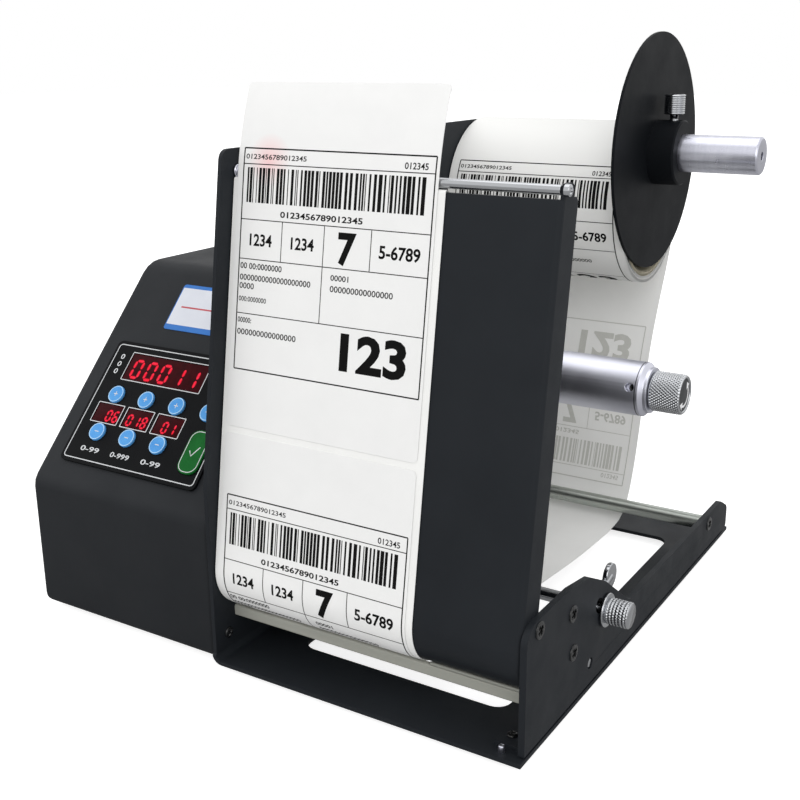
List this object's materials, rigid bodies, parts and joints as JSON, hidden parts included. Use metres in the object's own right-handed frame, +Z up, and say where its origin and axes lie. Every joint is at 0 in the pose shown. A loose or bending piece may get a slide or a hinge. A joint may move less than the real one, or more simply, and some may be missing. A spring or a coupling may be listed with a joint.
{
  "type": "label dispenser",
  "caption": "Motor-driven label dispenser with a black sheet-metal frame, a hanging label roll, a peeled label web and a covered counter unit with keys and displays.",
  "frame": {"origin": "middle of the footprint, on the floor under the rubber feet", "axes": "+X along the roll shaft towards its free end, +Y towards the back (the roll), +Z up"},
  "size_m": [0.2936, 0.3242, 0.2853],
  "materials": {
    "black_sheet": "fine textured black powder coat",
    "housing": "textured dark grey powder coat",
    "bright_steel": "bright plated",
    "satin_alloy": "satin turned",
    "bar_steel": "dull grey steel",
    "label_paper": "matt white",
    "liner_paper": "glossy backing paper",
    "core_card": "wound card",
    "flange_black": "satin black",
    "panel_film": "printed film",
    "display_red": "clear red window",
    "key_blue": "matt",
    "key_green": "matt",
    "board_green": "glass fibre board",
    "black_plastic": "matt",
    "rubber": "matt",
    "motor_steel": "plated can"
  },
  "bodies": {
    "machine": {"frame": "black_sheet", "side_wall": "black_sheet", "wall_angle_front": "black_sheet", "wall_angle_rear": "black_sheet", "front_tower": "black_sheet", "peel_rod": "bright_steel", "guide_bar": "bar_steel", "rear_rod": "bright_steel", "supply_shaft": "satin_alloy", "shaft_screw": "bright_steel", "liner_web": "liner_paper", "label_1": "label_paper", "label_2": "label_paper", "label_3": "label_paper", "label_4": "label_paper", "spindle_bearing": "black_plastic", "drive_belt": "rubber", "drive_motor": "motor_steel", "motor_mount": "black_sheet", "housing_cover": "housing", "control_panel": "panel_film", "display_main": "display_red", "display_1": "display_red", "display_2": "display_red", "display_3": "display_red", "control_board": "board_green", "power_inlet": "black_plastic", "peel_sensor": "black_plastic", "sensor_bracket": "black_sheet", "foot_1": "rubber", "foot_2": "rubber", "foot_3": "rubber", "foot_4": "rubber", "foot_5": "rubber", "foot_6": "rubber"},
    "takeup": {"takeup_spindle": "satin_alloy", "liner_coil": "liner_paper", "takeup_pulley": "black_plastic"},
    "takeup_nut": {"takeup_knob": "bright_steel"},
    "motor_rotor": {"motor_pulley": "satin_alloy"},
    "roll": {"roll_core": "core_card", "label_roll": "label_paper"},
    "flange": {"outer_flange": "flange_black"},
    "flange_thumb": {"flange_screw": "bright_steel"},
    "edge_guide": {"guide_rod": "bright_steel"},
    "collar": {"guide_collar": "bright_steel"},
    "collar_thumb": {"collar_screw": "bright_steel"},
    "guide_nut": {"edge_knob": "bright_steel"},
    "rocker": {"power_switch": "black_plastic"},
    "key_plus_1_cap": {"key_plus_1": "key_blue"},
    "key_plus_2_cap": {"key_plus_2": "key_blue"},
    "key_plus_3_cap": {"key_plus_3": "key_blue"},
    "key_plus_4_cap": {"key_plus_4": "key_blue"},
    "key_minus_1_cap": {"key_minus_1": "key_blue"},
    "key_minus_2_cap": {"key_minus_2": "key_blue"},
    "key_minus_3_cap": {"key_minus_3": "key_blue"},
    "key_confirm_cap": {"key_confirm": "key_green"}
  },
  "joints": [
    {"name": "takeup_spin", "type": "hinge", "parent": "machine", "child": "takeup", "pos_m": [0.03195, -0.03565, 0.128], "axis": [1, 0, 0], "continuous": true},
    {"name": "takeup_nut_turn", "type": "hinge", "parent": "takeup", "child": "takeup_nut", "pos_m": [0.13795, -0.03565, 0.128], "axis": [1, 0, 0], "continuous": true},
    {"name": "motor_spin", "type": "hinge", "parent": "machine", "child": "motor_rotor", "pos_m": [-0.04305, -0.01215, 0.062], "axis": [1, 0, 0], "continuous": true},
    {"name": "roll_spin", "type": "hinge", "parent": "machine", "child": "roll", "pos_m": [0.02495, 0.09885, 0.1942], "axis": [1, 0, 0], "continuous": true},
    {"name": "flange_slide", "type": "slide", "parent": "machine", "child": "flange", "axis": [1, 0, 0], "range_m": [0, 0.04]},
    {"name": "flange_thumb_turn", "type": "hinge", "parent": "flange", "child": "flange_thumb", "pos_m": [0.08815, 0.09885, 0.246], "axis": [0, 0, 1], "continuous": true},
    {"name": "guide_slide", "type": "slide", "parent": "machine", "child": "edge_guide", "axis": [0, 0.8072, -0.5903], "range_m": [-0.009, 0.0085]},
    {"name": "collar_slide", "type": "slide", "parent": "edge_guide", "child": "collar", "axis": [1, 0, 0], "range_m": [-0.13, 0]},
    {"name": "collar_thumb_turn", "type": "hinge", "parent": "collar", "child": "collar_thumb", "pos_m": [0.12265, -0.06601, 0.0387], "axis": [0, 0.9703, 0.2419], "continuous": true},
    {"name": "guide_nut_turn", "type": "hinge", "parent": "edge_guide", "child": "guide_nut", "pos_m": [0.13595, -0.07765, 0.0358], "axis": [1, 0, 0], "continuous": true},
    {"name": "rocker_tilt", "type": "hinge", "parent": "machine", "child": "rocker", "pos_m": [-0.09005, 0.04985, 0.058], "axis": [1, 0, 0], "range_deg": [0, 18]},
    {"name": "key_plus_1_press", "type": "slide", "parent": "machine", "child": "key_plus_1_cap", "axis": [0, 0.7233, -0.6905], "range_m": [0, 0.0008], "stiffness_N_per_m": 300},
    {"name": "key_plus_2_press", "type": "slide", "parent": "machine", "child": "key_plus_2_cap", "axis": [0, 0.7233, -0.6905], "range_m": [0, 0.0008], "stiffness_N_per_m": 300},
    {"name": "key_plus_3_press", "type": "slide", "parent": "machine", "child": "key_plus_3_cap", "axis": [0, 0.7233, -0.6905], "range_m": [0, 0.0008], "stiffness_N_per_m": 300},
    {"name": "key_plus_4_press", "type": "slide", "parent": "machine", "child": "key_plus_4_cap", "axis": [0, 0.7233, -0.6905], "range_m": [0, 0.0008], "stiffness_N_per_m": 300},
    {"name": "key_minus_1_press", "type": "slide", "parent": "machine", "child": "key_minus_1_cap", "axis": [0, 0.7233, -0.6905], "range_m": [0, 0.0008], "stiffness_N_per_m": 300},
    {"name": "key_minus_2_press", "type": "slide", "parent": "machine", "child": "key_minus_2_cap", "axis": [0, 0.7233, -0.6905], "range_m": [0, 0.0008], "stiffness_N_per_m": 300},
    {"name": "key_minus_3_press", "type": "slide", "parent": "machine", "child": "key_minus_3_cap", "axis": [0, 0.7233, -0.6905], "range_m": [0, 0.0008], "stiffness_N_per_m": 300},
    {"name": "key_confirm_press", "type": "slide", "parent": "machine", "child": "key_confirm_cap", "axis": [0, 0.7233, -0.6905], "range_m": [0, 0.0008], "stiffness_N_per_m": 300}
  ],
  "couplings": [
    {"joint": "motor_spin", "follows": "takeup_spin", "ratio": 2.573}
  ]
}
